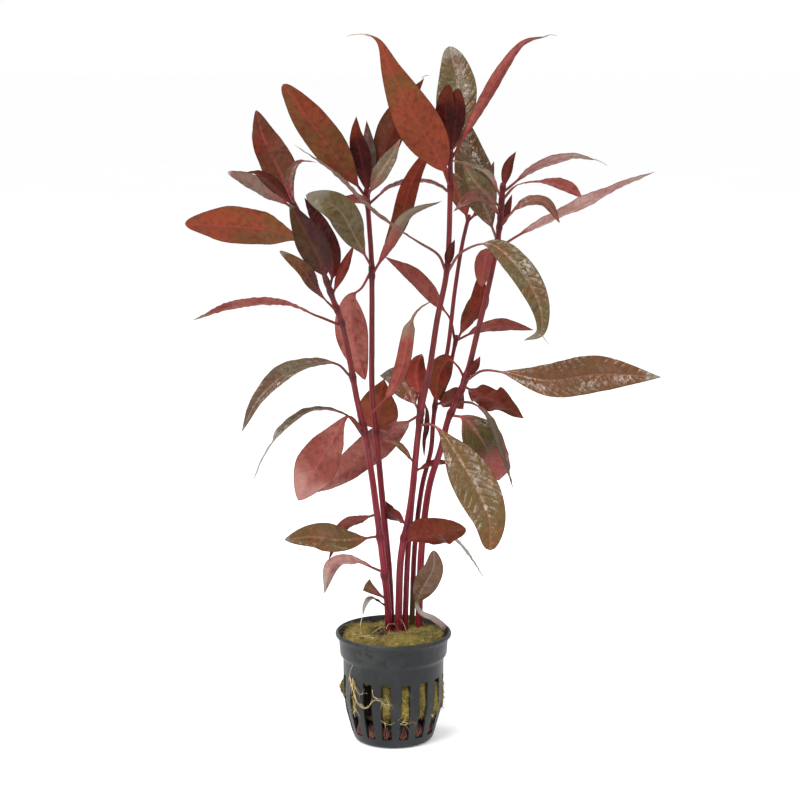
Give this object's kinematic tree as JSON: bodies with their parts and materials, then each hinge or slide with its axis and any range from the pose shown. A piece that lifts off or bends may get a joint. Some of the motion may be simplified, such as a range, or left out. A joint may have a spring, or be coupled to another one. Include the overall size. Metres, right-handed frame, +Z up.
{
  "type": "potted sessile joyweed",
  "caption": "Red aquarium stem plant with lance-shaped copper, plum and olive leaves on slender stems, rooted in a rockwool plug in a small slotted net pot.",
  "frame": {"origin": "centre of the pot's flat underside", "axes": "+Z up along the pot's axis; the pictured side faces -Y; +X to the right seen from there"},
  "size_m": [0.194, 0.0834, 0.297],
  "materials": {
    "pot_plastic": "charcoal moulded plastic with a slight sheen",
    "rockwool": "damp olive-yellow mineral fibre",
    "stem": "smooth crimson plant stem",
    "leaf_olive": "wet glossy upper leaf face, olive to golden brown",
    "leaf_copper": "matte copper-red leaf",
    "leaf_dark": "dark plum leaf",
    "leaf_pink": "dusty pink leaf underside",
    "leaf_grey": "grey-brown leaf, partly faded"
  },
  "bodies": {
    "root": {"back_leaf_brown": "leaf_olive", "back_leaf_grey_green": "leaf_grey", "back_stem": "stem", "centre_leaf_crown": "leaf_copper", "centre_leaf_edge_on": "leaf_grey", "centre_leaf_gold_droop": "leaf_olive", "centre_leaf_grey_olive": "leaf_olive", "centre_leaf_low_copper": "leaf_copper", "centre_leaf_low_pink": "leaf_pink", "centre_leaf_olive_hook": "leaf_olive", "centre_leaf_pink_lance": "leaf_pink", "centre_stem": "stem", "left_leaf_big_copper": "leaf_copper", "left_leaf_brown": "leaf_olive", "left_leaf_curled_thin": "leaf_grey", "left_leaf_hanging_red": "leaf_copper", "left_leaf_long_thin": "leaf_grey", "left_leaf_low_olive": "leaf_olive", "left_leaf_low_pink": "leaf_pink", "left_leaf_olive_droop": "leaf_olive", "left_leaf_olive_fold": "leaf_olive", "left_leaf_pinched_pink": "leaf_pink", "left_leaf_plum": "leaf_dark", "left_leaf_top_grey": "leaf_grey", "left_leaf_top_red": "leaf_copper", "left_stem": "stem", "mid_leaf_dark_copper": "leaf_copper", "mid_leaf_dark_red": "leaf_copper", "mid_leaf_hanging_pink": "leaf_pink", "mid_leaf_inner_copper": "leaf_copper", "mid_leaf_olive": "leaf_olive", "mid_leaf_purple": "leaf_pink", "mid_leaf_tall_copper": "leaf_copper", "mid_leaf_thin_arch": "leaf_grey", "mid_stem": "stem", "net_pot": "pot_plastic", "pot_leaf": "leaf_olive", "right_leaf_big_brown": "leaf_olive", "right_leaf_brown": "leaf_olive", "right_leaf_brown_arch": "leaf_olive", "right_leaf_dark_olive": "leaf_olive", "right_leaf_edge_strip": "leaf_grey", "right_leaf_grey_arch": "leaf_grey", "right_leaf_hanging_pink": "leaf_pink", "right_leaf_long_pink": "leaf_pink", "right_leaf_low_thin": "leaf_grey", "right_leaf_maroon_droop": "leaf_dark", "right_leaf_pink_upper": "leaf_pink", "right_leaf_red_arch": "leaf_copper", "right_leaf_tall_olive": "leaf_olive", "right_leaf_wavy_red": "leaf_copper", "right_stem": "stem", "rockwool_plug": "rockwool", "side_leaf_copper": "leaf_copper", "side_leaf_dark_red": "leaf_copper", "side_leaf_pink": "leaf_pink", "side_shoot": "stem", "thin_leaf_orange": "leaf_copper", "thin_stem": "stem"}
  },
  "joints": []
}
